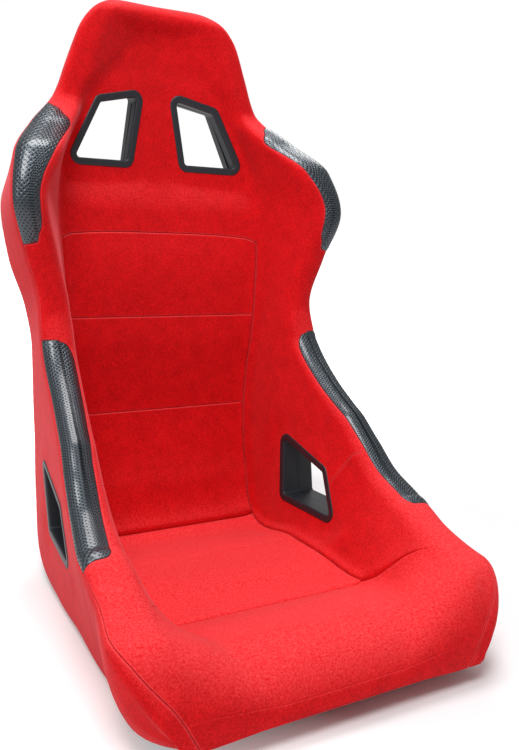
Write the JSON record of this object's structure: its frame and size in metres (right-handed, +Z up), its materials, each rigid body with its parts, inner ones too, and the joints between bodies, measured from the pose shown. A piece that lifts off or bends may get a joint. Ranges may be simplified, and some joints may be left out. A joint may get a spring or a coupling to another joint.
{
  "type": "racing seat",
  "caption": "Fixed-back bucket racing seat with upholstered side bolsters, vinyl wear patches and framed slots for harness and lap belts.",
  "frame": {"origin": "on the floor under the middle of the seat's overall box", "axes": "+Z up; the seat faces -Y; +X is the sitter's left"},
  "size_m": [0.545, 0.6958, 0.8976],
  "materials": {
    "cover_fabric": "matte",
    "vinyl": "satin",
    "bezel_plastic": "satin",
    "foam": "matte",
    "lining": "matte",
    "coated_steel": "satin",
    "spring_steel": "satin"
  },
  "bodies": {
    "root": {"inner_side_cover_right": "cover_fabric", "inner_side_cover_left": "cover_fabric", "thigh_wear_patch_right": "vinyl", "thigh_wear_patch_left": "vinyl", "waist_cover_right": "cover_fabric", "waist_cover_left": "cover_fabric", "shoulder_wear_patch_right": "vinyl", "shoulder_wear_patch_left": "vinyl", "head_side_cover_right": "cover_fabric", "head_side_cover_left": "cover_fabric", "outer_side_cover_right": "cover_fabric", "outer_side_cover_left": "cover_fabric", "thigh_bolster_foam_right": "foam", "thigh_bolster_foam_left": "foam", "shoulder_bolster_foam_right": "foam", "shoulder_bolster_foam_left": "foam", "harness_bezel_front_right": "bezel_plastic", "harness_bezel_front_left": "bezel_plastic", "harness_bezel_rear_right": "bezel_plastic", "harness_bezel_rear_left": "bezel_plastic", "lap_bezel_inner_right": "bezel_plastic", "lap_bezel_inner_left": "bezel_plastic", "lap_bezel_outer_right": "bezel_plastic", "lap_bezel_outer_left": "bezel_plastic", "side_tube_right": "coated_steel", "side_tube_left": "coated_steel", "thigh_hoop_right": "coated_steel", "thigh_hoop_left": "coated_steel", "shoulder_hoop_right": "coated_steel", "shoulder_hoop_left": "coated_steel", "mounting_rail_right": "coated_steel", "mounting_rail_left": "coated_steel", "front_roll_cover": "cover_fabric", "cushion_cover": "cover_fabric", "back_panel_cover": "cover_fabric", "head_panel_cover": "cover_fabric", "rear_cover": "cover_fabric", "base_lining": "lining", "front_roll_foam": "foam", "cushion_foam": "foam", "back_foam": "foam", "upper_back_foam": "foam", "head_foam": "foam", "head_hoop": "coated_steel", "front_cross_tube": "coated_steel", "rear_cross_tube": "coated_steel", "lumbar_cross_tube": "coated_steel", "shoulder_cross_tube": "coated_steel", "cushion_spring_1": "spring_steel", "cushion_spring_2": "spring_steel", "cushion_spring_3": "spring_steel", "back_spring_1": "spring_steel", "back_spring_2": "spring_steel", "back_spring_3": "spring_steel"}
  },
  "joints": []
}
